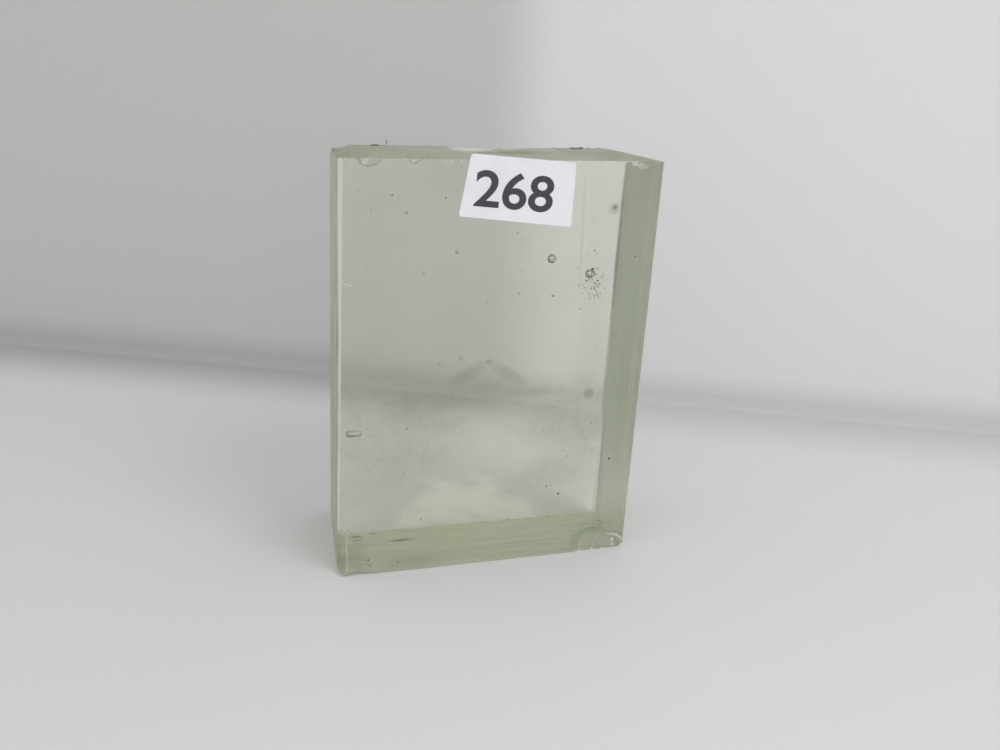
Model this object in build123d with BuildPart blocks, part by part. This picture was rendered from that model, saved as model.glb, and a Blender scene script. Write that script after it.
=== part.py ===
from build123d import *
import os
from typing import NamedTuple

# Sawn glass block standing on end, with a paper lot label stuck on its front.
# Millimetres, +X along the width, +Y to the back, +Z up. The origin is the middle of the foot.

# The slab: it was cut by hand, so its sides lean and its top isn't quite level
base_width = 110.4  # along the foot of the front face
left_height = 146.8
right_height = 147.5
thickness = 51.0
left_lean = 2.4  # how far the top of the left side stands to the right of its foot
right_lean = 1.7  # the same for the right side
left_skew = 2.4  # how far the left side runs in on its way to the back

# Edges: a fine worn arris all round
arris = 0.35


class Bevel(NamedTuple):
    """Hand-ground bevel along an upright edge, measured on the front or back face."""

    foot: float  # width at the foot
    top: float  # width at the top


front_left_bevel = Bevel(0.5, 1.5)
front_right_bevel = Bevel(0.55, 0.4)
back_right_bevel = Bevel(1.3, 0.4)

# Lot label: die-cut paper, its corners rounded, stuck a little askew over the top edge
label_width = 39.6  # along its lower side
label_height = 21.2
label_left_angle = 83.8  # between the lower side and the left side, in degrees
label_right_angle = 88.0
label_turn = -4.7  # degrees, anticlockwise is positive
label_corner = 1.3
label_thickness = 0.2  # paper and its glue
label_right = 49.1  # middle of the label, in from the foot of the right side
label_drop = 9.6  # middle of the label, below the front's top edge


class Chip(NamedTuple):
    """A shell-shaped chip, struck from one face near a corner of the block."""

    across: float  # from the corner to the middle of its rim, to the right
    along: float  # the same up the front face, or back along the top
    rim: float  # radius of its rim
    bite: float  # depth below the face

    @property
    def ball(self):
        """Radius of the ball whose cap is the chip."""
        return (self.rim**2 + self.bite**2) / (2 * self.bite)


left_foot_chips = [Chip(-0.6, -2.6, 4.4, 3.4), Chip(5.6, -2.0, 3.4, 2.4), Chip(10.6, -1.7, 2.8, 2.0)]
right_foot_chips = [Chip(-14.0, 3.3, 8.3, 1.5), Chip(-6.0, 0.3, 7.0, 1.9), Chip(-37.0, -0.9, 1.9, 0.7)]
top_left_chips = [Chip(9.6, 1.5, 4.2, 1.2), Chip(23.9, 1.2, 2.4, 0.5)]
top_right_chips = [Chip(-8.0, 0.8, 4.0, 1.2)]
back_scar = Chip(-47.0, -6.0, 20.0, 0.9)  # wide flake off the top, near its back edge
back_corner = Chip(-0.8, 1.5, 6.5, 3.4)  # off the top, at its back left corner

# Long flake off the front left edge, low down
flake_up = 10.0  # its middle, above the foot
flake_length = 19.2  # along the edge
flake_bite = 1.9  # depth at the edge
flake_angle = 53.1  # which way it faces, in degrees from straight left towards the front

# Where things are
left = -(base_width + right_lean) / 2
right = left + base_width
front = (label_thickness - thickness) / 2

foot_left = Vector(left, front, 0)
foot_right = Vector(right, front, 0)
top_left = Vector(left + left_lean, front, left_height)
top_right = Vector(right + right_lean, front, right_height)
to_back = Vector(0, thickness, 0)
skew = Vector(left_skew, 0, 0)
to_left = Vector(-1, 0, 0)
to_right = Vector(1, 0, 0)
forward = Vector(0, -1, 0)
backward = Vector(0, 1, 0)


def plane_through(start, along, other):
    """Plane with its X axis from start to along, that also holds other."""
    return Plane(origin=start, x_dir=along - start, z_dir=(along - start).cross(other - start))


# Glass block
with BuildPart() as glass_block:
    with BuildSketch(Plane.XZ.offset(-front)):
        with BuildLine():
            Polyline(*[(p.X, p.Z) for p in (foot_left, foot_right, top_right, top_left)], close=True)
        make_face()
    extrude(amount=-thickness)

    # The left side isn't square to the front
    left_cut = plane_through(foot_left, top_left, foot_left + to_back + skew)
    split(bisect_by=left_cut, keep=Keep.BOTTOM)
    chamfer(glass_block.edges(), length=arris)

    # Ground bevels on the upright edges
    for foot, top, bevel, across, deep in (
        (foot_left, top_left, front_left_bevel, to_right, backward),
        (foot_right, top_right, front_right_bevel, to_left, backward),
        (foot_right + to_back, top_right + to_back, back_right_bevel, to_left, forward),
    ):
        low = foot + across * bevel.foot
        high = top + across * bevel.top
        beside = foot + deep * bevel.foot
        bevel_cut = plane_through(low, high, beside)
        kept = Keep.BOTTOM if (foot - low).dot(bevel_cut.z_dir) > 0 else Keep.TOP
        split(bisect_by=bevel_cut, keep=kept)

    # Long flake off the front left edge, as the side of a ball
    flake_ball = ((flake_length / 2) ** 2 + flake_bite**2) / (2 * flake_bite)
    flake_way = to_left.rotate(Axis.Z, flake_angle)
    flake_edge = foot_left + (top_left - foot_left) * (flake_up / left_height)
    with Locations(flake_edge + flake_way * (flake_ball - flake_bite)):
        Sphere(flake_ball, mode=Mode.SUBTRACT)

    # Chips along the edges of the front face
    for corner, chips in (
        (foot_left, left_foot_chips),
        (foot_right, right_foot_chips),
        (top_left, top_left_chips),
        (top_right, top_right_chips),
    ):
        for chip in chips:
            out = chip.ball - chip.bite
            with Locations(corner + Vector(chip.across, -out, chip.along)):
                Sphere(chip.ball, mode=Mode.SUBTRACT)

    # Chips off the top, by its back edge
    for corner, chip in ((top_right, back_scar), (top_left + skew, back_corner)):
        out = chip.ball - chip.bite
        with Locations(corner + to_back + Vector(chip.across, chip.along, out)):
            Sphere(chip.ball, mode=Mode.SUBTRACT)

# Paper label
label_across = right - label_right
label_share = (label_across - top_left.X) / (top_right.X - top_left.X)
top_there = left_height + (right_height - left_height) * label_share
label_middle = (label_across, top_there - label_drop)
with BuildPart() as lot_label:
    with BuildSketch(Plane.XZ.offset(-front)) as label_outline:
        with Locations(label_middle):
            Trapezoid(label_width, label_height, label_left_angle, label_right_angle, rotation=label_turn)
        fillet(label_outline.vertices(), label_corner)
    extrude(amount=label_thickness)

os.makedirs("parts", exist_ok=True)
for part, name in ((glass_block.part, "glass_block"), (lot_label.part, "lot_label")):
    part.label = name
    export_step(part, f"parts/{name}.step")
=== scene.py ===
import math
import random
from typing import NamedTuple

import bmesh
import bpy
from mathutils import Matrix, Vector, noise

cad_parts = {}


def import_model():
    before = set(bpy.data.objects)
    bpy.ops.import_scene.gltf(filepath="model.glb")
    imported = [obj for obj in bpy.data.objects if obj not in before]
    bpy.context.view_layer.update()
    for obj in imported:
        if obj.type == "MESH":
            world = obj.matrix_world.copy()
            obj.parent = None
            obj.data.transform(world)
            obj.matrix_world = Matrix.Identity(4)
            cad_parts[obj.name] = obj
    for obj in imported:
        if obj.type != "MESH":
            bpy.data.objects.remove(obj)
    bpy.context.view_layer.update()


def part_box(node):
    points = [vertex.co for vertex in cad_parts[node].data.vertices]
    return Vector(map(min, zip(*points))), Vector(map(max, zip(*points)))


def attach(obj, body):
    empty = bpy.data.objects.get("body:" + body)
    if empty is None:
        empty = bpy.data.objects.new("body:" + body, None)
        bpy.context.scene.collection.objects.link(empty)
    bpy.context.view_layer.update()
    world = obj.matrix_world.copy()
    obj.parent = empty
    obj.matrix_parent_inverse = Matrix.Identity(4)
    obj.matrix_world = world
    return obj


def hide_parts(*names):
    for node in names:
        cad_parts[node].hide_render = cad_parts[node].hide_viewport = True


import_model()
MM = 0.001
FULL_TURN = 6.28  # in radians

# Sizes of the slab, the same as in the frame, in metres
FOOT_WIDTH = 110.4 * MM
LEFT_HEIGHT = 146.8 * MM
RIGHT_HEIGHT = 147.5 * MM
LEFT_LEAN = 2.4 * MM
RIGHT_LEAN = 1.7 * MM
LEFT_SKEW = 2.4 * MM

glass_low, glass_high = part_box("glass_block")
label_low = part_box("lot_label")[0]
FRONT = glass_low.y
BACK = glass_high.y
FOOT = glass_low.z
THICKNESS = BACK - FRONT
LEFT = -(FOOT_WIDTH + RIGHT_LEAN) / 2
RIGHT = LEFT + FOOT_WIDTH

# Corners: front and back, left and right, foot and top
TO_BACK = Vector((0, THICKNESS, 0))
SKEW = Vector((LEFT_SKEW, 0, 0))
FL_FOOT = Vector((LEFT, FRONT, FOOT))
FR_FOOT = Vector((RIGHT, FRONT, FOOT))
FL_TOP = Vector((LEFT + LEFT_LEAN, FRONT, LEFT_HEIGHT))
FR_TOP = Vector((RIGHT + RIGHT_LEAN, FRONT, RIGHT_HEIGHT))
BL_FOOT = FL_FOOT + TO_BACK + SKEW
BR_FOOT = FR_FOOT + TO_BACK
BL_TOP = FL_TOP + TO_BACK + SKEW
BR_TOP = FR_TOP + TO_BACK


def at(across, deep, up):
    """A place in millimetres from the front left corner of the foot."""
    return FL_FOOT + Vector((across, deep, up)) * MM


# Finishes of the slab's faces

class Finish(NamedTuple):
    """How rough a face is, how much it scatters, how dirty it is and how much shade is painted on it, how
    crushed it is and how much highlight is painted on it, and how much painted shade deepens its green.
    """
    ground: float
    frost: float
    grime_and_shade: float
    crushed_and_sheen: float
    deep: float


POLISHED = Finish(0.0, 0.0, 0.0, 0.0, 0.0)
SAWN_LEFT = Finish(1.0, 0.42, 0.80, 0.0, 0.0)
SAWN_RIGHT = Finish(1.0, 0.62, 0.05, 0.0, 0.0)
SAWN_TOP = Finish(1.0, 0.42, 0.95, 0.0, 0.0)
SAWN_FOOT = Finish(1.0, 0.9, 0.02, 0.0, 0.0)
# On the front bevels, part of the whitening from the crushed value is a painted highlight along the edge.
BEVEL = Finish(0.6, 0.45, 0.0, 0.68, 0.0)
BRIGHT_BEVEL = Finish(0.6, 0.5, 0.0, 0.55, 0.0)
CLEAR_BEVEL = Finish(0.25, 0.1, 0.0, 0.0, 0.0)
WORN = Finish(0.8, 0.5, 0.4, 0.0, 0.0)
DIRTY_EDGE = Finish(0.8, 0.8, 1.0, 0.0, 0.0)
FRACTURE = Finish(0.0, 0.0, 0.0, 0.0, 0.0)
CRUSHED = Finish(0.2, 0.0, 0.0, 1.0, 0.0)


# Shader maths

# How much of a spot's radius is at full strength
SPOT_HEART = 0.15


class Wire:
    """A node socket that adds up, multiplies and so on as a number does."""

    def __init__(self, graph, socket):
        self.graph = graph
        self.socket = socket

    def _math(self, operation, *values):
        return self.graph.node("ShaderNodeMath", {"operation": operation}, *values)

    def __add__(self, other):
        return self._math("ADD", self, other)

    def __radd__(self, other):
        return self._math("ADD", other, self)

    def __sub__(self, other):
        return self._math("SUBTRACT", self, other)

    def __rsub__(self, other):
        return self._math("SUBTRACT", other, self)

    def __mul__(self, other):
        return self._math("MULTIPLY", self, other)

    def __rmul__(self, other):
        return self._math("MULTIPLY", other, self)

    def __truediv__(self, other):
        return self._math("DIVIDE", self, other)

    def most(self, other):
        return self._math("MAXIMUM", self, other)

    def rise(self, low, high, first=0.0, last=1.0):
        """The first value below low, the last above high, smooth between."""
        settings = {"interpolation_type": "SMOOTHSTEP"}
        return self.graph.node("ShaderNodeMapRange", settings, self, low, high, first, last)


class Graph:
    """The nodes of one material or world."""

    def __init__(self, owner):
        owner.use_nodes = True
        self.tree = owner.node_tree
        self.tree.nodes.clear()

    def node(self, kind, settings=None, *values, out=0, **named):
        """Adds a node: its settings first, then the values or links of its sockets."""
        node = self.tree.nodes.new(kind)
        for name, value in (settings or {}).items():
            setattr(node, name, value)
        places = list(enumerate(values)) + [(k.replace("_", " "), v) for k, v in named.items()]
        for place, value in places:
            if isinstance(value, Wire):
                self.tree.links.new(value.socket, node.inputs[place])
            elif value is not None:
                node.inputs[place].default_value = value
        return Wire(self, node.outputs[out])

    def coordinates(self):
        return self.node("ShaderNodeTexCoord", out="Object")

    def attribute(self, name):
        return self.node("ShaderNodeAttribute", {"attribute_name": name}, out="Fac")

    def noise(self, vector, scale, detail=3.0, roughness=0.55):
        return self.node(
            "ShaderNodeTexNoise", {}, Vector=vector, Scale=scale, Detail=detail, Roughness=roughness
        )

    def stretched(self, vector, scale):
        return self.node("ShaderNodeMapping", {}, vector, None, None, scale)

    def vector_math(self, operation, *values, out=0):
        return self.node("ShaderNodeVectorMath", {"operation": operation}, *values, out=out)

    def spot(self, vector, middle, radii, turn, strength, ragged):
        """Its strength in the middle of an ellipsoid, fading to 0 at its rim. It turns about the depth."""
        share = Vector([1 / (radius * MM) for radius in radii])
        if turn == 0:
            shrunk = self.vector_math("MULTIPLY_ADD", vector, tuple(share), tuple(-middle * share))
        else:
            near = self.vector_math("SUBTRACT", vector, tuple(middle))
            settings = {"rotation_type": "Y_AXIS"}
            turned = self.node("ShaderNodeVectorRotate", settings, near, Angle=math.radians(turn))
            shrunk = self.vector_math("MULTIPLY", turned, tuple(share))
        reach = self.vector_math("LENGTH", shrunk, out="Value") + ragged
        return reach.rise(SPOT_HEART, 1.0, strength, 0.0)

    def blend(self, factor, first, second):
        """Colour between two, by a factor."""
        node = self.tree.nodes.new("ShaderNodeMix")
        node.data_type = "RGBA"
        for socket, value in ((node.inputs[0], factor), (node.inputs[6], first), (node.inputs[7], second)):
            if isinstance(value, Wire):
                self.tree.links.new(value.socket, socket)
            else:
                socket.default_value = value
        return Wire(self, node.outputs[2])

    def output(self, surface, volume=None, kind="ShaderNodeOutputMaterial"):
        node = self.tree.nodes.new(kind)
        self.tree.links.new(surface.socket, node.inputs["Surface"])
        if volume is not None:
            self.tree.links.new(volume.socket, node.inputs["Volume"])


def material_of(name):
    material = bpy.data.materials.new(name)
    return material, Graph(material)


# Dirt and painted shade on the slab: middle in millimetres from the front left corner of the foot, radii,
# turn, strength
class Stain(NamedTuple):
    across: float
    deep: float
    up: float
    radii: tuple
    turn: float
    strength: float


STAINS_AND_PAINTED_SHADE = [
    # The first four are painted shade on the back face: the shaded corner behind the slab, seen through the
    # glass
    Stain(53.5, 51, 63.3, (13, 3, 4.2), 29, 0.24),
    Stain(71.4, 51, 62.2, (14, 3, 4.0), -33, 0.24),
    Stain(62.2, 51, 68.1, (3.0, 3, 1.8), 0, 0.28),
    Stain(82, 51, 55, (26, 3, 5), 0, 0.18),
    Stain(103.8, 51, 53.4, (4.0, 3, 4.2), 0, 0.42),
    Stain(109, 51, 127.5, (1.5, 3, 1.2), 30, 0.9),
    Stain(109, 51, 127.0, (3.6, 3, 3.2), 30, 0.34),
    Stain(27, 37, 0, (7, 2.4, 2), 0, 0.85),
    Stain(9.7, 46.5, 0, (3.6, 2.2, 2), 0, 0.75),
    Stain(9.7, 42, 0, (3.6, 1.6, 2), 0, 0.6),
    Stain(16.6, 48.5, 0, (2.4, 1.5, 2), 0, 0.7),
    Stain(70, 20, 0, (24, 3.0, 2), 0, 0.18),
    Stain(8, 24, 0, (7, 26, 2), 0, 0.20),
    Stain(28, 12, 0, (14, 12, 2), 0, 0.16),
    Stain(7, 14, 146.8, (9, 18, 3), 0, 0.22),
    Stain(92, 24, 147.4, (22, 20, 3), 0, 0.24),
    Stain(111.6, 50.6, 112, (1.3, 1.6, 44), -0.66, 0.55),
    Stain(112.0, 27, 147.5, (0.9, 27, 0.8), 0, 0.75),
    Stain(96.6, 51, 118, (1.2, 3, 36), 0.9, 0.10),
    Stain(1.1, 3.4, 88, (1.3, 4.6, 32), -0.94, 0.90),
    Stain(0.9, 3.4, 74, (1.3, 4.6, 96), -0.94, 0.60),
    Stain(1.4, 26, 26, (3.0, 34, 42), -0.94, 0.14),
    Stain(25, 50, 146.9, (28, 4, 1.5), 0, 0.40),
    Stain(4.4, 32, 146.8, (1.6, 20, 2.0), 0, 0.50),
]
# Clouding of the back, with painted shade in it (the two long flat bands 46 and 55 mm up are the shaded
# corner behind, seen through the glass), and where it is wiped off
HAZE_AND_PAINTED_SHADE = [
    Stain(24, 51, 36, (40, 3, 34), 20, 0.17),
    Stain(94, 51, 32, (32, 3, 32), -20, 0.27),
    Stain(8, 51, 84, (26, 3, 50), 0, 0.04),
    Stain(64, 51, 55, (64, 3, 9), 0, 0.12),
    Stain(40, 51, 46, (30, 3, 11), -25, 0.11),
    Stain(104, 51, 66, (12, 3, 22), 0, 0.07),
    Stain(88, 51, 96, (30, 3, 16), 30, 0.03),
    Stain(20, 51, 124, (20, 3, 22), 0, 0.04),
]
WIPED = [
    Stain(56.0, 51, 11.0, (20, 3, 17), 14, 1.0),
    Stain(71.0, 51, 26.0, (20, 3, 9), 22, 0.8),
    Stain(84.0, 51, 9.0, (18, 3, 8), 0, 0.7),
]

# Colours that light takes on in the glass
CLEAR_TINT = (1.0, 1.0, 1.0, 1.0)
SAWN_TINTS = (0.82, 0.91, 0.76, 1.0), (0.99, 0.99, 0.94, 1.0)
# Painted shade in the chips: a darker green where their slopes would mirror dark things
PAINTED_SHADE_TINT = (0.40, 0.50, 0.34, 1.0)
ABSORPTION_COLOUR, ABSORPTION_DENSITY = (0.57, 0.72, 0.0, 1.0), 2.8
# Colours of what scatters light on its faces
SAWN_COLOURS = (0.72, 0.83, 0.66, 1.0), (0.96, 0.98, 0.88, 1.0)
FOOT_COLOURS = (0.86, 0.89, 0.72, 1.0), (1.0, 1.0, 0.94, 1.0)
# Grime, also painted shade on the front of the scar in the top and on the bubbles' rims
GRIME_AND_SHADE_COLOUR = (0.31, 0.28, 0.19, 1.0)
# Crushed glass, also painted highlights on chips, bevels and the flake's rim
CRUSHED_AND_SHEEN_COLOUR = (0.94, 0.95, 0.92, 1.0)
# Dark film and stains, also painted shade on the back face
FILM_AND_SHADE_COLOUR = (0.16, 0.15, 0.11, 1.0)
GLASS_IOR = 1.52
POLISHED_ROUGHNESS, FROSTED_ROUGHNESS = 0.015, 0.7


def glass_material():
    """Clear pale green glass: polished front and back, ground sides, fresh fracture in the chips, with
    painted shade and painted highlights on chips, bevels, bubbles and the back.
    """
    material, graph = material_of("pale_green_glass")
    place = graph.coordinates()
    ground, frost, grime_and_shade, crushed_and_sheen, deep = (graph.attribute(name) for name in Finish._fields)
    grit = graph.noise(place, 2600.0, 2.0)
    streaks = graph.noise(graph.stretched(place, (260.0, 260.0, 9.0)), 1.0, 3.0)
    saw_marks = graph.noise(graph.stretched(place, (24.0, 150.0, 150.0)), 1.0, 3.0, 0.65)
    wipes = graph.noise(graph.stretched(place, (420.0, 420.0, 22.0)), 1.0, 3.0)
    mottle = graph.noise(place, 60.0, 3.0)
    ragged = 0.7 * (graph.noise(graph.stretched(place, (60.0, 60.0, 110.0)), 1.0, 4.0) - 0.5)
    height = graph.node("ShaderNodeSeparateXYZ", {}, place, out="Z")
    near_foot = 1 - height.rise(0.1 * MM, 0.5 * MM)
    low_down = 1 - height.rise(8.0 * MM, 62.0 * MM)

    def stains(kept, gather):
        total = None
        for stain in kept:
            middle = at(stain.across, stain.deep, stain.up)
            spot = graph.spot(place, middle, stain.radii, stain.turn, stain.strength, ragged)
            total = spot if total is None else gather(total, spot)
        return total

    wiped = stains(WIPED, Wire.most)
    # Clouding of the back, with painted shade in it
    haze_and_shade = stains(HAZE_AND_PAINTED_SHADE, Wire.__add__) * (0.1 + 1.8 * mottle) * (1 - wiped)
    dust = graph.noise(place, 700.0, 2.0, 0.7).rise(0.5, 0.72)
    film = haze_and_shade * (0.85 + 0.5 * dust) + 0.025 * wipes.rise(0.42, 0.8) * mottle + 0.01 * dust
    dark = stains(STAINS_AND_PAINTED_SHADE, Wire.most).most(film * (1 - ground))
    roughness = POLISHED_ROUGHNESS + ground * (0.25 + 0.2 * streaks) + 0.4 * crushed_and_sheen
    streaked = streaks.rise(0.38, 0.62)
    face_tint = graph.blend(ground, CLEAR_TINT, graph.blend(streaked, *SAWN_TINTS))
    # Painted shade: the chips' deep faces tint the light through them darker green
    tint = graph.blend(deep, face_tint, PAINTED_SHADE_TINT)
    relief = graph.node(
        "ShaderNodeBump", {}, Strength=0.3, Distance=0.05 * MM, Height=ground * (grit + streaks)
    )
    clear = graph.node(
        "ShaderNodeBsdfPrincipled",
        {},
        Base_Color=tint,
        Roughness=roughness,
        IOR=GLASS_IOR,
        Transmission_Weight=1.0,
        Normal=relief,
    )
    thinned = 1 - 0.95 * low_down * (frost.rise(0.55, 0.6) * (1 - near_foot))
    cover = (frost * (0.8 + 0.4 * streaks) * thinned).most(crushed_and_sheen * 0.85).most(dark)
    sawn_colour = graph.blend(streaked, *SAWN_COLOURS)
    foot_colour = graph.blend(saw_marks.rise(0.35, 0.65), *FOOT_COLOURS)
    cut_colour = graph.blend(near_foot, sawn_colour, foot_colour)
    grimy = grime_and_shade * (0.25 + 1.2 * mottle + 0.35 * dust)
    grimy_colour = graph.blend(grimy, cut_colour, GRIME_AND_SHADE_COLOUR)
    # Crushed glass and painted highlights turn the faces white
    whitened_colour = graph.blend(crushed_and_sheen.rise(0.0, 0.05), grimy_colour, CRUSHED_AND_SHEEN_COLOUR)
    film_colour = graph.blend(dark / cover.most(0.001), whitened_colour, FILM_AND_SHADE_COLOUR)
    frosted = graph.node(
        "ShaderNodeBsdfPrincipled",
        {},
        Base_Color=film_colour,
        Roughness=FROSTED_ROUGHNESS,
        IOR=GLASS_IOR,
        Transmission_Weight=0.4,
    )
    surface = graph.node("ShaderNodeMixShader", {}, cover, clear, frosted)
    volume = graph.node("ShaderNodeVolumeAbsorption", {}, ABSORPTION_COLOUR, ABSORPTION_DENSITY)
    graph.output(surface, volume)
    return material


def paper_material():
    """Matt label paper with faint fibres."""
    material, graph = material_of("white_paper")
    place = graph.coordinates()
    fibres = graph.noise(place, 900.0, 5.0, 0.65)
    clouds = graph.noise(place, 60.0, 3.0)
    white = graph.blend(clouds.rise(0.35, 0.65), (0.79, 0.78, 0.83, 1.0), (0.85, 0.84, 0.87, 1.0))
    colour = graph.blend(0.25 * fibres, white, (0.60, 0.58, 0.68, 1.0))
    relief = graph.node("ShaderNodeBump", {}, Strength=0.2, Distance=0.03 * MM, Height=fibres)
    surface = graph.node("ShaderNodeBsdfPrincipled", {}, Base_Color=colour, Roughness=0.55, Normal=relief)
    graph.output(surface)
    return material


def ink_material():
    material, graph = material_of("black_ink")
    worn = graph.noise(graph.coordinates(), 1500.0, 4.0)
    colour = graph.blend(worn, (0.030, 0.028, 0.040, 1.0), (0.060, 0.056, 0.075, 1.0))
    surface = graph.node("ShaderNodeBsdfPrincipled", {}, Base_Color=colour, Roughness=0.45)
    graph.output(surface)
    return material


def dirt_material():
    material, graph = material_of("dark_dirt")
    lumps = graph.noise(graph.coordinates(), 3000.0, 3.0)
    colour = graph.blend(lumps, (0.03, 0.03, 0.022, 1.0), (0.12, 0.11, 0.085, 1.0))
    surface = graph.node("ShaderNodeBsdfPrincipled", {}, Base_Color=colour, Roughness=0.9)
    graph.output(surface)
    return material


# Meshes

def thing_of(name, mesh):
    thing = bpy.data.objects.new(name, mesh)
    bpy.context.scene.collection.objects.link(thing)
    return thing


def mesh_object(name, vertices, faces, smooth=False):
    mesh = bpy.data.meshes.new(name)
    mesh.from_pydata([tuple(v) for v in vertices], [], faces)
    if smooth:
        mesh.shade_smooth()
    else:
        mesh.shade_flat()
    return thing_of(name, mesh)


def plain(thing):
    """The thing's mesh with its modifiers worked in."""
    graph = bpy.context.evaluated_depsgraph_get()
    mesh = bpy.data.meshes.new_from_object(thing.evaluated_get(graph))
    thing.modifiers.clear()
    thing.data = mesh


def recalculate(mesh):
    work = bmesh.new()
    work.from_mesh(mesh)
    bmesh.ops.recalc_face_normals(work, faces=work.faces)
    work.to_mesh(mesh)
    work.free()


def mark(mesh, finish):
    """Gives all of a mesh's faces one finish."""
    for name, value in finish._asdict().items():
        values = mesh.attributes.new(name, "FLOAT", "FACE")
        values.data.foreach_set("value", [value] * len(mesh.polygons))


def cut(thing, cutter, solver="MANIFOLD"):
    """Takes the cutter out of the thing."""
    change = thing.modifiers.new("cut", "BOOLEAN")
    change.operation = "DIFFERENCE"
    change.solver = solver
    change.object = cutter
    plain(thing)
    bpy.data.objects.remove(cutter)


def tube(work, points, radius, sides=6):
    """A thin round thread through the points, thinner at its ends."""
    rings = []
    for number, point in enumerate(points):
        before = points[max(number - 1, 0)]
        after = points[min(number + 1, len(points) - 1)]
        turn = (after - before).to_track_quat("Z", "Y")
        taper = radius * (0.45 if number in (0, len(points) - 1) else 1.0)
        ring = []
        for side in range(sides):
            angle = 2 * math.pi * side / sides
            out = turn @ Vector((math.cos(angle), math.sin(angle), 0))
            ring.append(work.verts.new(point + out * taper))
        rings.append(ring)
    for first, second in zip(rings, rings[1:]):
        for side in range(sides):
            after = (side + 1) % sides
            work.faces.new((first[side], first[after], second[after], second[side]))
    work.faces.new(list(reversed(rings[0])))
    work.faces.new(rings[-1])


# The sawn slab

class Edge(NamedTuple):
    """An edge between two corners, the corners next to the first on its two faces, and its worn widths."""
    start: Vector
    end: Vector
    beside: Vector
    behind: Vector
    start_width: float
    end_width: float
    finish: Finish


WORN_EDGES = [
    Edge(FL_FOOT, FL_TOP, FR_FOOT, BL_FOOT, 0.5, 1.5, BEVEL),
    Edge(FR_FOOT, FR_TOP, FL_FOOT, BR_FOOT, 0.55, 0.4, BRIGHT_BEVEL),
    Edge(BR_FOOT, BR_TOP, BL_FOOT, FR_FOOT, 1.3, 0.35, CLEAR_BEVEL),
    Edge(BL_FOOT, BL_TOP, BR_FOOT, FL_FOOT, 0.35, 0.35, WORN),
    Edge(FL_TOP, FR_TOP, FL_FOOT, BL_TOP, 0.14, 0.14, WORN),
    Edge(BL_TOP, BR_TOP, BL_FOOT, FL_TOP, 0.5, 0.35, DIRTY_EDGE),
    Edge(FL_FOOT, FR_FOOT, FL_TOP, BL_FOOT, 0.2, 0.2, WORN),
    Edge(BL_FOOT, BR_FOOT, BL_TOP, FL_FOOT, 0.2, 0.2, WORN),
    Edge(FL_TOP, BL_TOP, FL_FOOT, FR_TOP, 0.35, 0.35, DIRTY_EDGE),
    Edge(FR_TOP, BR_TOP, FR_FOOT, FL_TOP, 0.35, 0.35, DIRTY_EDGE),
    Edge(FL_FOOT, BL_FOOT, FL_TOP, FR_FOOT, 0.3, 0.3, WORN),
    Edge(FR_FOOT, BR_FOOT, FR_TOP, FL_FOOT, 0.3, 0.3, SAWN_FOOT),
]


def shave(work, points, finish):
    """Cuts off what lies outside the plane through three points, and finishes the new face."""
    normal = (points[1] - points[0]).cross(points[2] - points[0]).normalized()
    inside = (FL_FOOT + BR_TOP) / 2 - points[0]
    if normal.dot(inside) > 0:
        normal.negate()
    found = bmesh.ops.bisect_plane(
        work,
        geom=work.verts[:] + work.edges[:] + work.faces[:],
        dist=1e-8,
        plane_co=points[0],
        plane_no=normal,
        clear_outer=True,
    )
    rim = [piece for piece in found["geom_cut"] if isinstance(piece, bmesh.types.BMEdge)]
    for face in bmesh.ops.contextual_create(work, geom=rim)["faces"]:
        for name, value in finish._asdict().items():
            face[work.faces.layers.float[name]] = value


def sawn_slab():
    """The slab before it was chipped: six faces and worn edges."""
    work = bmesh.new()
    for name in Finish._fields:
        work.faces.layers.float.new(name)
    bmesh.ops.create_cube(work, size=1.0)
    shave(work, (FL_FOOT, FR_FOOT, FR_TOP), POLISHED)
    shave(work, (BL_FOOT, BR_FOOT, BR_TOP), POLISHED)
    shave(work, (FL_FOOT, FL_TOP, BL_FOOT), SAWN_LEFT)
    shave(work, (FR_FOOT, FR_TOP, BR_FOOT), SAWN_RIGHT)
    shave(work, (FL_TOP, FR_TOP, BR_TOP), SAWN_TOP)
    shave(work, (FL_FOOT, FR_FOOT, BR_FOOT), SAWN_FOOT)
    for edge in WORN_EDGES:
        beside = (edge.beside - edge.start).normalized()
        behind = (edge.behind - edge.start).normalized()
        first = edge.start_width * MM
        last = edge.end_width * MM
        points = (edge.start + beside * first, edge.end + beside * last, edge.start + behind * first)
        shave(work, points, edge.finish)
    for face in work.faces:
        face.smooth = False
    mesh = bpy.data.meshes.new("glass_slab")
    bmesh.ops.recalc_face_normals(work, faces=work.faces)
    work.to_mesh(mesh)
    work.free()
    return thing_of("glass_slab", mesh)


# Shell-shaped chips

FRONT_FRAME = (Vector((1, 0, 0)), Vector((0, 0, 1)), Vector((0, -1, 0)))
TOP_FRAME = (Vector((1, 0, 0)), Vector((0, 1, 0)), Vector((0, 0, 1)))
CORNER_FRAME = (Vector((0.8, -0.6, 0)), Vector((0, 0, 1)), Vector((-0.6, -0.8, 0)))
LEFT_FRAME = (Vector((0, 1, 0)), Vector((0, 0, 1)), Vector((-1, 0, 0)))


class Tone(NamedTuple):
    """Part of a chip that looks another way, between two angles and two shares of the rim."""
    field: str
    start: float
    end: float
    low: float
    high: float
    strength: float


class Chip(NamedTuple):
    """A bowl knocked out of a face, in millimetres: deeper to one side, its floor more or less flat."""
    middle: Vector
    axes: tuple
    rims: tuple
    bite: float
    skew: float = 0.0
    toward: float = 0.0
    square: float = 2.0
    ripple: float = 0.04
    tones: tuple = ()
    flat: float = 2.0


# Painted shade and painted highlights on the two lobes of the chip at the right foot
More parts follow.
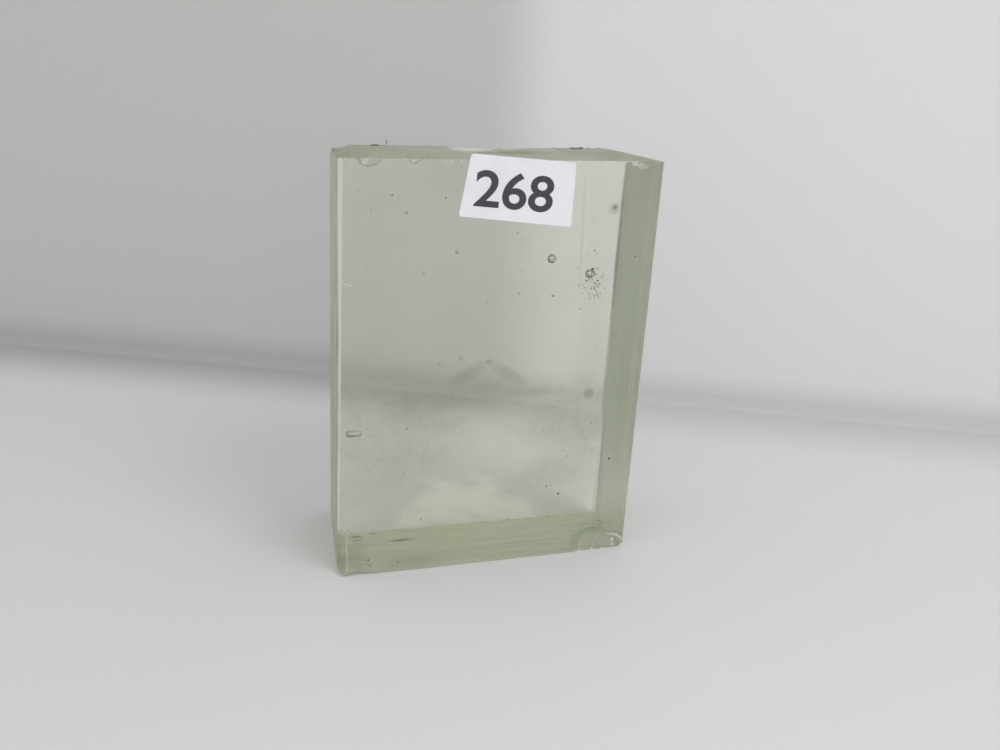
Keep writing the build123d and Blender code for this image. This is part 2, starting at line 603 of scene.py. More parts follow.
LOBE_A = (
    Tone("deep", 30, 205, 0.38, 1.06, 0.75),
    Tone("crushed_and_sheen", 130, 215, 0.42, 0.52, 0.30),
    Tone("crushed_and_sheen", 190, 300, 0.50, 0.75, 0.20),
)
LOBE_B = (
    Tone("deep", 10, 125, 0.92, 1.06, 1.0),
    Tone("crushed_and_sheen", 22, 96, 0.72, 0.86, 0.9),
    Tone("deep", 90, 215, 0.60, 0.98, 0.8),
    Tone("crushed_and_sheen", 92, 125, 0.58, 0.70, 0.5),
    Tone("deep", -50, 80, 0.40, 0.74, 0.6),
    Tone("crushed_and_sheen", 300, 370, 0.70, 0.90, 0.4),
)
# On the chips, the deep tones are painted shade and the crushed tones are painted highlights
CHIPS = [
    Chip(at(-0.6, 0, -2.6), FRONT_FRAME, (4.4, 4.4), 3.4),
    Chip(at(6.6, 0, -1.6), FRONT_FRAME, (3.8, 3.6), 4.6, tones=(Tone("deep", 20, 160, 0.85, 1.02, 0.6),)),
    Chip(at(11.4, 0, -1.6), FRONT_FRAME, (3.0, 3.0), 2.8, tones=(Tone("deep", 20, 160, 0.85, 1.02, 0.6),)),
    Chip(
        at(0.16, 0, 10.0), CORNER_FRAME, (5.6, 9.6), 2.0, 0.1, 0, 5.0,
        tones=(Tone("deep", 0, 360, 0.0, 1.1, 0.70),), flat=10.0,
    ),
    Chip(at(96.4, 0, 3.3), FRONT_FRAME, (8.2, 8.6), 1.2, 0.8, 130, 2.0, 0.12, LOBE_A),
    Chip(at(104.2, 0, 0.3), FRONT_FRAME, (7.8, 7.8), 0.8, 1.0, 50, 2.0, 0.12, LOBE_B),
    Chip(at(111.6, 0, -0.6), FRONT_FRAME, (3.5, 2.9), 3.4),
    Chip(at(73.4, 0, -0.9), FRONT_FRAME, (1.9, 1.9), 0.7),
    Chip(
        at(12.0, 0, 148.3), FRONT_FRAME, (4.3, 4.1), 1.3, 0.3, 230, 2.0, 0.10,
        (Tone("deep", 180, 360, 0.84, 1.0, 1.0), Tone("deep", 260, 360, 0.3, 0.85, 0.4)),
    ),
    Chip(
        at(26.3, 0, 147.9), FRONT_FRAME, (2.4, 2.4), 0.6,
        tones=(Tone("deep", 180, 360, 0.80, 1.0, 1.0),),
    ),
    Chip(
        at(104.1, 0, 148.3), FRONT_FRAME, (4.2, 3.2), 1.2, 0.4, 270, 2.0, 0.10,
        (Tone("crushed_and_sheen", 200, 330, 0.6, 0.8, 0.4),),
    ),
    # The scar in the top: its back part is whitened as a painted reflection, its front part darkened as
    # painted shade
    Chip(
        at(65.0, 45.0, 147.1), TOP_FRAME, (18.0, 22.0), 0.6, 0.85, 190, 3.0, 0.02,
        (
            Tone("crushed_and_sheen", 70, 212, 0.0, 1.06, 0.9),
            Tone("crushed_and_sheen", 15, 100, 0.15, 0.80, 0.6),
            Tone("ground", 195, 455, -0.6, 2.0, 1.0),
            Tone("frost", 195, 455, -0.6, 2.0, 0.45),
            Tone("grime_and_shade", 195, 455, -0.6, 2.0, 1.0),
            Tone("frost", 195, 350, 0.20, 1.15, 1.5),
            Tone("grime_and_shade", 195, 350, 0.20, 1.15, 1.3),
            Tone("deep", 195, 350, 0.20, 1.15, 1.0),
        ),
    ),
    Chip(at(3.4, 52.0, 146.8), TOP_FRAME, (7.5, 15.5), 3.0),
    Chip(at(0.0, 2.0, -0.6), LEFT_FRAME, (7.6, 3.6), 1.5),
]


# A cutter's rings and spokes, and how far it reaches, as a share of the chip's rim
RINGS, SPOKES, REACH = 28, 80, 1.35
# How uneven the rim is, coarsely and finely, and how close together the ripples are
WOBBLE, FINE_WOBBLE, RIPPLES = 0.09, 0.03, 1.6


def bowl(chip, seed):
    """The cutter for a chip, with rings about its middle as glass breaks."""
    aside, along, out = chip.axes
    rim_a, rim_b = (rim * MM for rim in chip.rims)
    bite = chip.bite * MM
    vertices = []
    for ring in range(1, RINGS + 1):
        share = REACH * ring / RINGS
        for spoke in range(SPOKES):
            angle = 2 * math.pi * spoke / SPOKES
            c, s = math.cos(angle), math.sin(angle)
            wobble = 1 + WOBBLE * noise.noise(Vector((1.4 * c + 7 * seed, 1.4 * s, 3.1)))
            wobble += FINE_WOBBLE * noise.noise(Vector((5 * c + 7 * seed, 5 * s, 9.1)))
            square = (abs(c) ** chip.square + abs(s) ** chip.square) ** (-1 / chip.square)
            lean = 1 + chip.skew * min(share, 1.0) * math.cos(angle - math.radians(chip.toward))
            deep = bite * min(share * share - 1, share**chip.flat - 1) * lean
            waves = math.sin(2 * math.pi * share * math.sqrt(rim_a / MM) * RIPPLES + 2 * wobble)
            deep += chip.ripple * MM * waves * min(share, 1.0)
            reach = share * square * wobble
            vertices.append(
                chip.middle + aside * (c * rim_a * reach) + along * (s * rim_b * reach) + out * deep
            )
    vertices += [chip.middle - out * bite, chip.middle + out * (3 * bite + 2 * rim_a)]
    last = RINGS * SPOKES
    faces = []
    for ring in range(RINGS - 1):
        for spoke in range(SPOKES):
            a = ring * SPOKES + spoke
            b = ring * SPOKES + (spoke + 1) % SPOKES
            faces.append((a, a + SPOKES, b + SPOKES, b))
    for spoke in range(SPOKES):
        after = (spoke + 1) % SPOKES
        faces.append((spoke, after, last))
        faces.append((last - SPOKES + after, last - SPOKES + spoke, last + 1))
    cutter = mesh_object("cutter", vertices, faces, smooth=True)
    recalculate(cutter.data)
    mark(cutter.data, FRACTURE)
    for tone in chip.tones:
        lay_tone(cutter.data, tone)
    return cutter


def lay_tone(mesh, tone):
    """Raises one of the finish's values over part of a cutter, fading out at the part's edges."""
    values = mesh.attributes[tone.field].data
    for ring in range(RINGS - 1):
        way = (REACH * (ring + 1.5) / RINGS - tone.low) / (tone.high - tone.low)
        for spoke in range(SPOKES):
            around = (360 * (spoke + 0.5) / SPOKES - tone.start) % 360 / (tone.end - tone.start)
            if 0 < way < 1 and around < 1:
                fade = math.sqrt(math.sin(math.pi * way) * math.sin(math.pi * around))
                face = values[ring * SPOKES + spoke]
                face.value = max(face.value, tone.strength * fade)


# Nicks along the edges

# A random value's first input and its output, by its kind
RANDOM_SOCKETS = {"FLOAT": (2, 1), "FLOAT_VECTOR": (0, 0)}
NICK_JITTER = 0.4 * MM
FIRST_NICK_SEED = 101


def socket_id(tree, name):
    return next(item.identifier for item in tree.interface.items_tree if item.name == name)


def nick_tree():
    """Geometry nodes: small knocks strung at random along the lines of a mesh."""
    tree = bpy.data.node_groups.new("edge_nicks", "GeometryNodeTree")
    for name, kind in (("Geometry", "NodeSocketGeometry"), ("Spacing", "NodeSocketFloat"),
                       ("Smallest", "NodeSocketFloat"), ("Largest", "NodeSocketFloat"),
                       ("Seed", "NodeSocketInt")):
        tree.interface.new_socket(name, in_out="INPUT", socket_type=kind)
    tree.interface.new_socket("Geometry", in_out="OUTPUT", socket_type="NodeSocketGeometry")

    def add(kind, settings=None, **links):
        node = tree.nodes.new(kind)
        for name, value in (settings or {}).items():
            setattr(node, name, value)
        for name, value in links.items():
            socket = node.inputs[name.replace("_", " ")]
            if isinstance(value, bpy.types.NodeSocket):
                tree.links.new(value, socket)
            else:
                socket.default_value = value
        return node

    start = add("NodeGroupInput").outputs
    line = add("GeometryNodeMeshToCurve", Mesh=start["Geometry"]).outputs["Curve"]
    even = add("GeometryNodeResampleCurve", {"mode": "LENGTH"}, Curve=line, Length=start["Spacing"])
    points = add("GeometryNodeCurveToPoints", {"mode": "EVALUATED"}, Curve=even.outputs["Curve"])

    def chance(low, high, kind="FLOAT", step=0):
        node = tree.nodes.new("FunctionNodeRandomValue")
        node.data_type = kind
        seed = tree.nodes.new("ShaderNodeMath")
        tree.links.new(start["Seed"], seed.inputs[0])
        seed.inputs[1].default_value = step
        tree.links.new(seed.outputs[0], node.inputs["Seed"])
        first, out = RANDOM_SOCKETS[kind]
        node.inputs[first].default_value = low
        node.inputs[first + 1].default_value = high
        return node.outputs[out]

    jitter = chance((-NICK_JITTER,) * 3, (NICK_JITTER,) * 3, "FLOAT_VECTOR", 11)
    spread = add("GeometryNodeSetPosition", Geometry=points.outputs["Points"], Offset=jitter)
    knock = add("GeometryNodeMeshIcoSphere", Radius=1.0, Subdivisions=2)
    turns = chance((0.0,) * 3, (FULL_TURN,) * 3, "FLOAT_VECTOR", 23)
    share = add("ShaderNodeMath", {"operation": "POWER"})
    tree.links.new(chance(0.0, 1.0, step=37), share.inputs[0])
    share.inputs[1].default_value = 3.0
    smallest, largest = start["Smallest"], start["Largest"]
    size = add("ShaderNodeMapRange", Value=share.outputs[0], To_Min=smallest, To_Max=largest)
    shape = add("ShaderNodeVectorMath", {"operation": "SCALE"})
    tree.links.new(chance((0.6, 0.6, 0.4), (1.6, 1.3, 0.9), "FLOAT_VECTOR", 53), shape.inputs[0])
    tree.links.new(size.outputs[0], shape.inputs["Scale"])
    strung = add(
        "GeometryNodeInstanceOnPoints",
        Points=spread.outputs["Geometry"],
        Instance=knock.outputs["Mesh"],
        Rotation=turns,
        Scale=shape.outputs[0],
    )
    real = add("GeometryNodeRealizeInstances", Geometry=strung.outputs["Instances"])
    finish = add("GeometryNodeSetMaterial", Geometry=real.outputs["Geometry"])
    end = tree.nodes.new("NodeGroupOutput")
    tree.links.new(finish.outputs["Geometry"], end.inputs["Geometry"])
    return tree


# Worn stretches: both ends, how far apart the nicks are, the smallest and the largest, in millimetres
NICKED = [
    (at(4.5, 0.0, 146.8), at(44.0, 0.0, 147.0), 2.3, 0.10, 0.42),
    (at(80.0, 0.0, 147.2), at(111.0, 0.0, 147.5), 1.3, 0.12, 0.50),
    (at(12.0, 0.0, 0.0), at(88.0, 0.0, 0.0), 4.3, 0.10, 0.45),
    (at(88.0, 0.9, 0.0), at(106.0, 1.2, 0.0), 1.9, 0.15, 0.65),
    (at(4.8, 51, 146.8), at(112.0, 51, 147.5), 4.7, 0.12, 0.6),
    (at(110.4, 0, 4.0), at(112.0, 0, 146), 7.3, 0.08, 0.3),
    (at(110.4, 51, 2.0), at(112.0, 51, 146), 6.1, 0.06, 0.2),
    (at(2.4, 51, 2.0), at(4.8, 51, 146), 6.7, 0.08, 0.4),
    (at(0.0, 0, 20.0), at(2.4, 0, 145), 9.1, 0.08, 0.3),
    (at(2.4, 51, 0.0), at(110.4, 51, 0), 5.3, 0.06, 0.2),
    (at(0.0, 2, 0.0), at(2.4, 50, 0), 5.3, 0.10, 0.4),
    (at(2.4, 1, 146.8), at(4.8, 50, 146.8), 4.9, 0.10, 0.4),
    (at(112.1, 1, 147.5), at(112.1, 50, 147.5), 4.9, 0.10, 0.4),
    (at(0.6, 0.1, 19.4), at(3.4, 0.1, 18.8), 0.6, 0.16, 0.34),
]
# Single knocks: place and radius in millimetres
KNOCKS = [
    (at(6.8, 0, 146.5), 0.30), (at(6.8, 0, 145.8), 0.28), (at(6.8, 0, 145.2), 0.22),
    (at(36.05, 0, 146.5), 0.30), (at(38.05, 0, 146.7), 0.28), (at(41.3, 0, 146.8), 0.26),
    (at(87.7, 0, 147.2), 0.30),
    (at(92.5, 0, 147.3), 0.32), (at(93.8, 0, 147.3), 0.26), (at(98.05, 0, 147.3), 0.34),
    (at(99.3, 0, 147.3), 0.26), (at(105.6, 0, 147.3), 0.30), (at(102.0, 0.5, 147.0), 0.42),
    (at(103.3, 0.5, 146.0), 0.36), (at(100.5, 0.3, 146.1), 0.30), (at(106.1, 0.9, 3.4), 0.75),
    (at(106.4, 0.8, 1.3), 0.60), (at(97.8, 0.9, 0.3), 0.60), (at(101.6, 0.6, 0.3), 0.50),
    (at(73.1, 0, 2.6), 0.24), (at(90.3, 0, 0.2), 0.34), (at(99.2, 0.9, 5.0), 0.26),
    (at(99.3, 0.9, 5.9), 0.26), (at(62.0, 51, 68.3), 0.34), (at(63.2, 51, 67.5), 0.28),
    (at(61.0, 51, 67.2), 0.28), (at(64.1, 51, 68.4), 0.22), (at(84.5, 51, 100.8), 0.32),
]
# A hooked hair-thin scratch by the left edge, and its radius in millimetres
SCRATCH = [
    at(2.54, 0.52, 111.4), at(2.60, 0.46, 109.8), at(2.90, 0.16, 108.4),
    at(3.64, 0.02, 107.6), at(4.91, 0.02, 107.1), at(6.83, 0.02, 106.7),
]
SCRATCH_RADIUS = 0.16


def nicks():
    """Every single knock, the scratch, and every nick of every worn stretch, as one cutter."""
    work = bmesh.new()
    for middle, radius in KNOCKS:
        for vertex in bmesh.ops.create_icosphere(work, subdivisions=2, radius=radius * MM)["verts"]:
            lump = 1 + 0.4 * noise.noise(vertex.co * 2500 + middle * 900)
            vertex.co = middle + vertex.co * lump
    tube(work, SCRATCH, SCRATCH_RADIUS * MM)
    work.verts.index_update()
    vertices = [vertex.co.copy() for vertex in work.verts]
    faces = [tuple(vertex.index for vertex in face.verts) for face in work.faces]
    work.free()
    tree = nick_tree()
    for number, (start, end, spacing, smallest, largest) in enumerate(NICKED):
        line = thing_of("line", bpy.data.meshes.new("line"))
        line.data.from_pydata([tuple(start), tuple(end)], [(0, 1)], [])
        change = line.modifiers.new("nicks", "NODES")
        change.node_group = tree
        for name, value in (("Spacing", spacing * MM), ("Smallest", smallest * MM),
                            ("Largest", largest * MM), ("Seed", FIRST_NICK_SEED + number)):
            change[socket_id(tree, name)] = value
        plain(line)
        first = len(vertices)
        vertices += [v.co.copy() for v in line.data.vertices]
        faces += [tuple(first + i for i in face.vertices) for face in line.data.polygons]
        bpy.data.objects.remove(line)
    cutter = mesh_object("cutter", vertices, faces)
    recalculate(cutter.data)
    mark(cutter.data, CRUSHED)
    return cutter


# Bubbles and seeds: place, radius and how much longer than wide, in millimetres
BUBBLES = [
    (at(79.3, 25, 111.5), 1.75, 1.0),
    (at(94.2, 25, 105.8), 1.70, 1.1),
    (at(7.4, 14, 51.7), 1.25, 2.3),
    (at(43.0, 15, 115.6), 0.70, 1.0),
    (at(25.5, 15, 128.8), 0.62, 1.1),
    (at(45.5, 15, 77.7), 0.75, 1.0),
    (at(37.7, 15, 76.2), 0.50, 1.0),
    (at(65.6, 15, 100.5), 0.55, 1.0),
    (at(31.5, 15, 108.3), 0.45, 1.2),
    (at(65.5, 25, 56.3), 0.60, 1.0),
    (at(73.7, 25, 56.4), 0.40, 1.0),
    (at(99.1, 25, 47.3), 0.40, 1.0),
    (at(91.7, 25, 92.8), 0.40, 1.0),
    (at(80.8, 25, 97.9), 0.35, 1.0),
]
# A bubble's rim is where its faces look less to the front or back than this, and how strong the painted
# shade on it is
BUBBLE_RIM, BUBBLE_RIM_SHADE = 0.74, 0.42
# How far from the middle a long bubble's ends begin, as a share of its radius
BUBBLE_END = 0.3
SEED_COUNT = 46


def bubble(work, middle, radius, stretch=1.0, subdivisions=4):
    """A closed hole in the glass, so its faces look inwards. Its rim, where it is seen edge-on from the
    front, has painted shade.
    """
    frost, grime_and_shade = (work.faces.layers.float[name] for name in ("frost", "grime_and_shade"))
    made = bmesh.ops.create_icosphere(work, subdivisions=subdivisions, radius=radius * MM)["verts"]
    for vertex in made:
        side = max(-1.0, min(1.0, vertex.co.x / (BUBBLE_END * radius * MM)))
        vertex.co.x += side * (stretch - 1) * radius * MM
    for face in {face for vertex in made for face in vertex.link_faces}:
        face.normal_update()
        if abs(face.normal.y) < BUBBLE_RIM:
            face[frost] = BUBBLE_RIM_SHADE
            face[grime_and_shade] = 1.0
        face.normal_flip()
        face.smooth = True
    for vertex in made:
        vertex.co += middle


def add_bubbles(slab):
    work = bmesh.new()
    work.from_mesh(slab.data)
    for middle, radius, stretch in BUBBLES:
        bubble(work, middle, radius, stretch)
    chance = random.Random(4)
    for _ in range(SEED_COUNT):
        middle = at(chance.uniform(8, 104), chance.uniform(4, 47), chance.uniform(8, 140))
        bubble(work, middle, chance.uniform(0.10, 0.24), subdivisions=2)
    work.to_mesh(slab.data)
    work.free()


def keep_in_box(mesh):
    for vertex in mesh.vertices:
        for axis in range(3):
            vertex.co[axis] = min(max(vertex.co[axis], glass_low[axis]), glass_high[axis])


# The flake's rim on the front, splintered and with a painted highlight along it: between these corners
FLAKE_RIM = (at(2.5, -0.01, 2.0), at(4.4, 0.30, 19.0))
SPLINTERED_AND_SHEEN = 0.45
# Faces that meet at more than this many degrees aren't shaded as one
SHARP_ANGLE = 18


def splinter_and_sheen(mesh, low, high):
    """Crushes the chips' faces between two corners; this also paints a highlight along the flake's rim."""
    crushed_and_sheen = mesh.attributes["crushed_and_sheen"].data
    for face in mesh.polygons:
        if face.area < MM * MM and all(low[i] < face.center[i] < high[i] for i in range(3)):
            crushed_and_sheen[face.index].value = SPLINTERED_AND_SHEEN


def glass_slab():
    slab = sawn_slab()
    for number, chip in enumerate(CHIPS):
        cut(slab, bowl(chip, number))
    cut(slab, nicks(), "EXACT")
    splinter_and_sheen(slab.data, *FLAKE_RIM)
    add_bubbles(slab)
    keep_in_box(slab.data)
    slab.data.set_sharp_from_angle(angle=math.radians(SHARP_ANGLE))
    slab.data.materials.clear()
    slab.data.materials.append(glass_material())
    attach(slab, "root")
    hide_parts("glass_block")


# The paper label

LABEL_CORNERS = [(40.4, 128.85), (80.0, 125.2), (80.5, 147.0), (44.2, 149.3)]
LABEL_CORNER_RADIUS = 1.3
PAPER_THICKNESS = 0.13
GLUE_GAP = 0.02
# How deep the ink sits in the paper
INK_SINK = 0.01
NUMBER = "268"
NUMBER_WIDTH, NUMBER_HEIGHT = 27.0, 12.0
NUMBER_MIDDLE = (59.4, 137.2)
NUMBER_TURN = -4.7
NUMBER_BOLDNESS = 0.016


def rounded(corners, radius, steps=8):
    """The outline of a polygon with its corners rounded."""
    outline = []
    for number, corner in enumerate(corners):
        here = Vector(corner)
        to_last = (Vector(corners[number - 1]) - here).normalized()
        to_next = (Vector(corners[(number + 1) % len(corners)]) - here).normalized()
        half = to_last.angle(to_next) / 2
        middle = here + (to_last + to_next).normalized() * (radius / math.sin(half))
        first = here + to_last * (radius / math.tan(half)) - middle
        last = here + to_next * (radius / math.tan(half)) - middle
        for step in range(steps + 1):
            outline.append(middle + first.slerp(last, step / steps))
    return outline


def label():
    outline = rounded(LABEL_CORNERS, LABEL_CORNER_RADIUS)
    count = len(outline)
    back = [at(p.x, -GLUE_GAP, p.y) for p in outline]
    front = [at(p.x, -GLUE_GAP - PAPER_THICKNESS, p.y) for p in outline]
    faces = [tuple(range(count)), tuple(reversed(range(count, 2 * count)))]
    faces += [(i, i + count, (i + 1) % count + count, (i + 1) % count) for i in range(count)]
    paper = mesh_object("label_paper", back + front, faces)
    recalculate(paper.data)
    paper.data.materials.append(paper_material())
    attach(paper, "root")
    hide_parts("lot_label")


def number():
    """A plain three-figure number, printed bold."""
    text = bpy.data.curves.new("label_number", "FONT")
    text.body = NUMBER
    text.offset = NUMBER_BOLDNESS
    text.extrude = 0.5
    text.resolution_u = 8
    thing = thing_of("label_number", text)
    graph = bpy.context.evaluated_depsgraph_get()
    mesh = bpy.data.meshes.new_from_object(thing.evaluated_get(graph))
    bpy.data.objects.remove(thing)
    low = [min(v.co[i] for v in mesh.vertices) for i in range(3)]
    high = [max(v.co[i] for v in mesh.vertices) for i in range(3)]
    turn = Matrix.Rotation(math.radians(NUMBER_TURN), 2)
    ink_front = label_low.y
    ink_back = FRONT - (GLUE_GAP + PAPER_THICKNESS - INK_SINK) * MM
    for vertex in mesh.vertices:
        share = [(vertex.co[i] - low[i]) / (high[i] - low[i]) for i in range(3)]
        flat = turn @ Vector(((share[0] - 0.5) * NUMBER_WIDTH, (share[1] - 0.5) * NUMBER_HEIGHT))
        place = at(NUMBER_MIDDLE[0] + flat.x, 0, NUMBER_MIDDLE[1] + flat.y)
        place.y = ink_back + (ink_front - ink_back) * share[2]
        vertex.co = place
    work = bmesh.new()
    work.from_mesh(mesh)
    bmesh.ops.remove_doubles(work, verts=work.verts, dist=1e-6)
    bmesh.ops.recalc_face_normals(work, faces=work.faces)
    work.to_mesh(mesh)
    work.free()
    mesh.shade_flat()
    mesh.materials.clear()
    mesh.materials.append(ink_material())
    ink = thing_of("label_number", mesh)
    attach(ink, "root")


# Dirt: hairs and fluff on the top, specks in and on the glass

def speck(work, middle, radius):
    """A lump of dirt, kept inside the slab's depth."""
    for vertex in bmesh.ops.create_icosphere(work, subdivisions=2, radius=radius * MM)["verts"]:
        lump = 1 + 0.45 * noise.noise(vertex.co / (radius * MM) * 1.7 + middle * 900)
        vertex.co = middle + vertex.co * lump
        vertex.co.y = min(max(vertex.co.y, glass_low.y), glass_high.y - 0.05 * MM)


SPECKS = [
    (at(101.9, 50, 111.2), 0.30), (at(102.5, 50, 102.0), 0.45), (at(104.0, 50, 99.5), 0.35),
    (at(105.0, 50, 98.2), 0.30), (at(99.5, 50, 99.5), 0.30), (at(103.4, 50, 104.5), 0.25),
    (at(108.0, 25, 31.5), 0.42), (at(93.4, 50, 10.2), 0.45), (at(24.4, 50, 131.4), 0.30),
    (at(43.7, 50, 130.6), 0.28), (at(30.1, 50, 42.9), 0.28), (at(104.9, 2.5, 114.8), 0.22),
    (at(88.0, 50, 14.0), 0.30), (at(97.6, 50, 88.6), 0.28), (at(36.0, 50, 4.0), 0.25),
    (at(94.9, 24.0, 107.7), 0.42), (at(95.5, 24.0, 106.6), 0.34), (at(93.8, 24.0, 103.8), 0.28),
    (at(85.9, 50, 93.8), 0.30), (at(11.0, 1.0, 5.6), 0.30), (at(11.6, 0.6, 3.4), 0.26),
    (at(22.6, 8.0, 1.0), 0.32), (at(60.0, 50, 92.0), 0.22), (at(71.0, 50, 118.0), 0.22),
]


# A hair that stands on the top and a lump that lies there, and their radii in millimetres
DIRT_LEVEL = 147.05
HAIR = [
    at(24.9, 48.5, DIRT_LEVEL), at(24.8, 48.4, DIRT_LEVEL + 0.8),
    at(24.9, 48.5, DIRT_LEVEL + 1.6), at(24.8, 48.4, DIRT_LEVEL + 2.25),
]
LUMP = [
    at(18.5, 48.5, DIRT_LEVEL - 0.25), at(19.8, 48.5, DIRT_LEVEL),
    at(21.3, 48.5, DIRT_LEVEL + 0.05), at(22.8, 48.5, DIRT_LEVEL - 0.2),
]
HAIR_RADIUS, LUMP_RADIUS = 0.16, 0.26
CURL_COUNT, CURL_STEPS, CURL_LEVEL = 9, 7, 147.45


def curl(work, chance):
    """A thread of fluff that wanders over the top."""
    start = at(chance.uniform(93, 104), chance.uniform(44, 50), CURL_LEVEL)
    points = [start]
    heading = chance.uniform(0, FULL_TURN)
    for step in range(CURL_STEPS):
        heading += chance.uniform(-1.1, 1.1)
        rise = 0.28 * MM * math.sin(math.pi * (step + 1) / CURL_STEPS)
        point = points[-1] + Vector((math.cos(heading), 0.6 * math.sin(heading), 0)) * 0.45 * MM
        point.z = start.z + rise + chance.uniform(0, 0.25) * MM
        points.append(point)
    tube(work, points, chance.uniform(0.06, 0.11) * MM)


def dirt():
    chance = random.Random(7)
    work = bmesh.new()
    for middle, radius in SPECKS:
        speck(work, middle, radius)
    tube(work, HAIR, HAIR_RADIUS * MM)
    tube(work, LUMP, LUMP_RADIUS * MM)
    for _ in range(CURL_COUNT):
        curl(work, chance)
    # Crumbs by the fluff, over the whole top, in a patch on the back, round a bubble, and behind the middle
    for _ in range(14):
        place = at(chance.uniform(92, 109), chance.uniform(42, 50), 147.55)
        speck(work, place, chance.uniform(0.12, 0.3))
    for _ in range(22):
        place = at(chance.uniform(6, 108), chance.uniform(4, 49), 147.2)
        speck(work, place, chance.uniform(0.08, 0.16))
    for _ in range(70):
        across, up = chance.gauss(103.0, 2.2), chance.gauss(97.0, 2.8)
        speck(work, at(across, 49.6, up), chance.uniform(0.07, 0.26))
    for _ in range(16):
        across, up = chance.gauss(94.2, 1.0), chance.gauss(105.8, 1.0)
        place = at(across, 25.0 + chance.uniform(-1.4, 1.4), up)
        speck(work, place, chance.uniform(0.07, 0.20))
    for _ in range(40):
        place = at(chance.uniform(8, 104), chance.uniform(20, 49.5), chance.uniform(8, 140))
        speck(work, place, chance.uniform(0.06, 0.14))
    mesh = bpy.data.meshes.new("dirt_and_fluff")
    bmesh.ops.recalc_face_normals(work, faces=work.faces)
    work.to_mesh(mesh)
    work.free()
    mesh.materials.append(dirt_material())
    thing = thing_of("dirt_and_fluff", mesh)
    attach(thing, "root")


glass_slab()
label()
number()
dirt()


# Stage

FLOOR_GREY = (0.68, 0.68, 0.685, 1.0)
WALL_GREY = (0.74, 0.74, 0.75, 1.0)
SHADED_WALL_GREY = (0.56, 0.56, 0.55, 1.0)
BLACK = (0.0, 0.0, 0.0, 1.0)
FLOOR_LEVEL = -0.03 * MM
FLOOR_LENGTH = 2.5
WALL_POINT = Vector((162.8, 115.0, 0.0)) * MM
WALL_TURN = -24.4
WALL_HALF_WIDTH, WALL_HEIGHT = 1.6, 0.9
# The floor turns up into the wall in a small cove: its radius, how much shade is painted in it, its steps
# and their degrees
COVE, COVE_SHADE = 6 * MM, 0.085
COVE_STEPS, COVE_STEP = 6, 15
# Where the shade on the wall's left part starts to fade, and where it ends, along the wall
SHADE_START, SHADE_END = -133 * MM, -85 * MM
# Painted shade in the corner: how much of the wall's colour is left, and how far it fades up and out
CORNER_SHADE, FLOOR_CORNER_SHADE = 0.80, 0.74
CORNER_UP, CORNER_OUT = 22 * MM, 70 * MM
# A painted pool of light on the floor behind the slab: its middle, radii and grey
LIGHT_POOL_MIDDLE, LIGHT_POOL_RADII, LIGHT_POOL_GREY = at(58, 68, 0), (36, 30, 20), (0.83, 0.83, 0.81, 1.0)


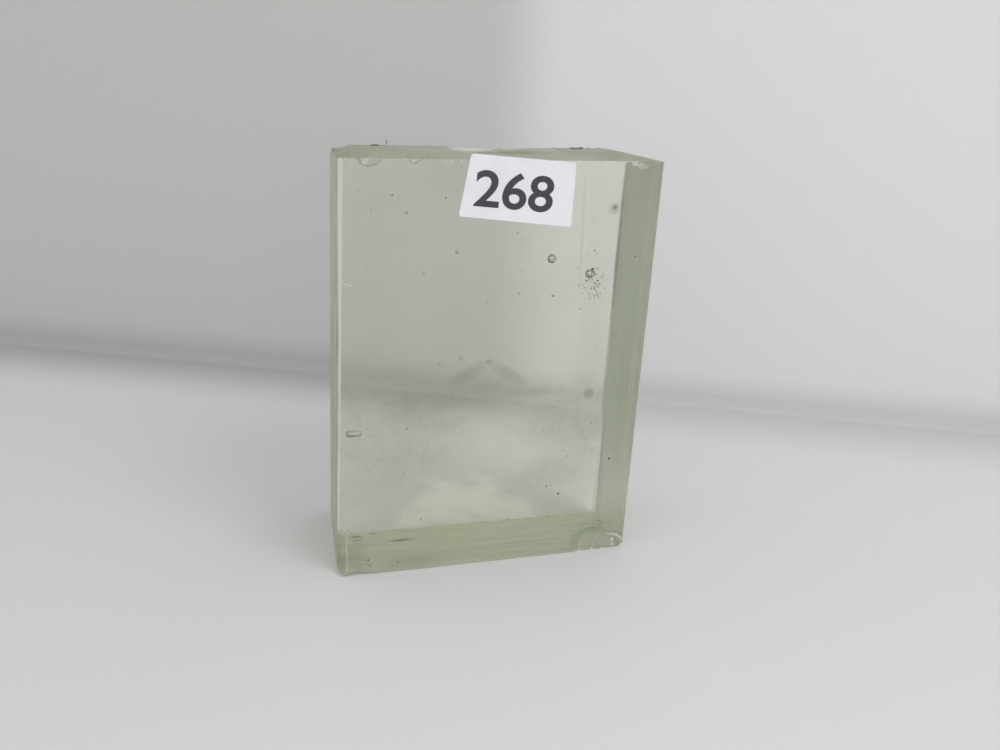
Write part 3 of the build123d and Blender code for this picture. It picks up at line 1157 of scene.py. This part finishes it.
def stage():
    """A pale floor and a wall close behind, with painted shade on the wall's left part, in the corner and
    in the cove, and a painted pool of light on the floor behind the slab. From behind, the wall is clear.
    """
    material, graph = material_of("pale_stage")
    place = graph.coordinates()
    turn = Matrix.Rotation(math.radians(WALL_TURN), 3, "Z")
    wall_way = turn @ Vector((1, 0, 0))
    along = graph.vector_math("DOT_PRODUCT", place, tuple(wall_way), out="Value")
    lit = (along - wall_way.dot(WALL_POINT)).rise(SHADE_START, SHADE_END)
    wall_out = turn @ Vector((0, -1, 0))
    away = graph.vector_math("DOT_PRODUCT", place, tuple(wall_out), out="Value")
    height = graph.node("ShaderNodeSeparateXYZ", {}, place, out="Z")
    wall_grey = graph.blend(lit, SHADED_WALL_GREY, WALL_GREY)
    # Painted shade in the corner, on the wall and on the floor
    corner_grey = graph.blend(CORNER_SHADE, BLACK, wall_grey)
    wall_paint = graph.blend(height.rise(0.0, CORNER_UP), corner_grey, wall_grey)
    out_of_corner = (away - wall_out.dot(WALL_POINT)).rise(0.0, CORNER_OUT)
    floor_corner_grey = graph.blend(FLOOR_CORNER_SHADE, BLACK, wall_grey)
    floor_paint = graph.blend(out_of_corner, floor_corner_grey, FLOOR_GREY)
    # Painted pool of light on the floor, ragged at its rim
    clouds = 3.2 * (graph.noise(place, 46.0, 5.0) - 0.5)
    spot = graph.spot(place, LIGHT_POOL_MIDDLE, LIGHT_POOL_RADII, 0, 1.0, clouds)
    floor_with_light_pool = graph.blend(spot, floor_paint, LIGHT_POOL_GREY)
    plain_grey = graph.blend(height.rise(FLOOR_LEVEL, FLOOR_LEVEL + COVE), floor_with_light_pool, wall_paint)
    # Painted shade in the cove
    in_cove = height.rise(FLOOR_LEVEL, COVE / 3) * (1 - height.rise(COVE / 3, COVE * 1.4))
    grey = graph.blend(COVE_SHADE * in_cove, plain_grey, BLACK)
    paint = graph.node("ShaderNodeBsdfPrincipled", {}, Base_Color=grey, Roughness=0.7)
    clear = graph.node("ShaderNodeBsdfTransparent")
    behind = graph.node("ShaderNodeNewGeometry", out="Backfacing")
    graph.output(graph.node("ShaderNodeMixShader", {}, behind, paint, clear))
    arc = [math.radians(COVE_STEP * step) for step in range(COVE_STEPS + 1)]
    cove = [(COVE * (math.sin(a) - 1), COVE * (1 - math.cos(a))) for a in arc]
    profile = [(-FLOOR_LENGTH, 0.0)] + cove + [(0.0, WALL_HEIGHT)]
    vertices = []
    for y, z in profile:
        for x in (-WALL_HALF_WIDTH, WALL_HALF_WIDTH):
            vertices.append(WALL_POINT + turn @ Vector((x, y, z + FLOOR_LEVEL)))
    faces = [(2 * i, 2 * i + 1, 2 * i + 3, 2 * i + 2) for i in range(len(profile) - 1)]
    backdrop = mesh_object("backdrop", vertices, faces)
    backdrop.data.materials.append(material)


def lamp(name, place, target, size, power):
    data = bpy.data.lights.new(name, "AREA")
    data.shape = "RECTANGLE"
    data.size, data.size_y = size
    data.energy = power
    thing = bpy.data.objects.new(name, data)
    thing.location = place
    thing.rotation_euler = (Vector(target) - Vector(place)).to_track_quat("-Z", "Y").to_euler()
    bpy.context.scene.collection.objects.link(thing)


def world():
    sky = bpy.data.worlds.new("room")
    bpy.context.scene.world = sky
    graph = Graph(sky)
    light = graph.node("ShaderNodeBackground", {}, (1.0, 1.0, 1.0, 1.0), 0.85)
    graph.output(light, kind="ShaderNodeOutputWorld")


# Camera: in front and to the left, looking down
CAMERA_PLACE = Vector((-82.0, -304.5, 172.9)) * MM
CAMERA_LENS = 31.74
HEADING, PITCH, ROLL = 16.59, 18.77, 2.59


def camera():
    data = bpy.data.cameras.new("camera")
    data.lens = CAMERA_LENS
    data.sensor_width = 36.0
    data.clip_start = 0.01
    thing = bpy.data.objects.new("camera", data)
    turn = (
        Matrix.Rotation(math.radians(-HEADING), 4, "Z")
        @ Matrix.Rotation(math.radians(90 - PITCH), 4, "X")
        @ Matrix.Rotation(math.radians(ROLL), 4, "Z")
    )
    thing.matrix_world = Matrix.Translation(CAMERA_PLACE) @ turn
    bpy.context.scene.collection.objects.link(thing)
    bpy.context.scene.camera = thing


stage()
world()
lamp("key", (0.35, -0.65, 0.95), (0, 0, 0.08), (0.5, 0.5), 3.0)
lamp("front", (-0.04, -0.32, 0.18), (0, 0, 0.08), (0.06, 0.06), 0.04)
camera()
bpy.context.scene.view_settings.view_transform = "Standard"
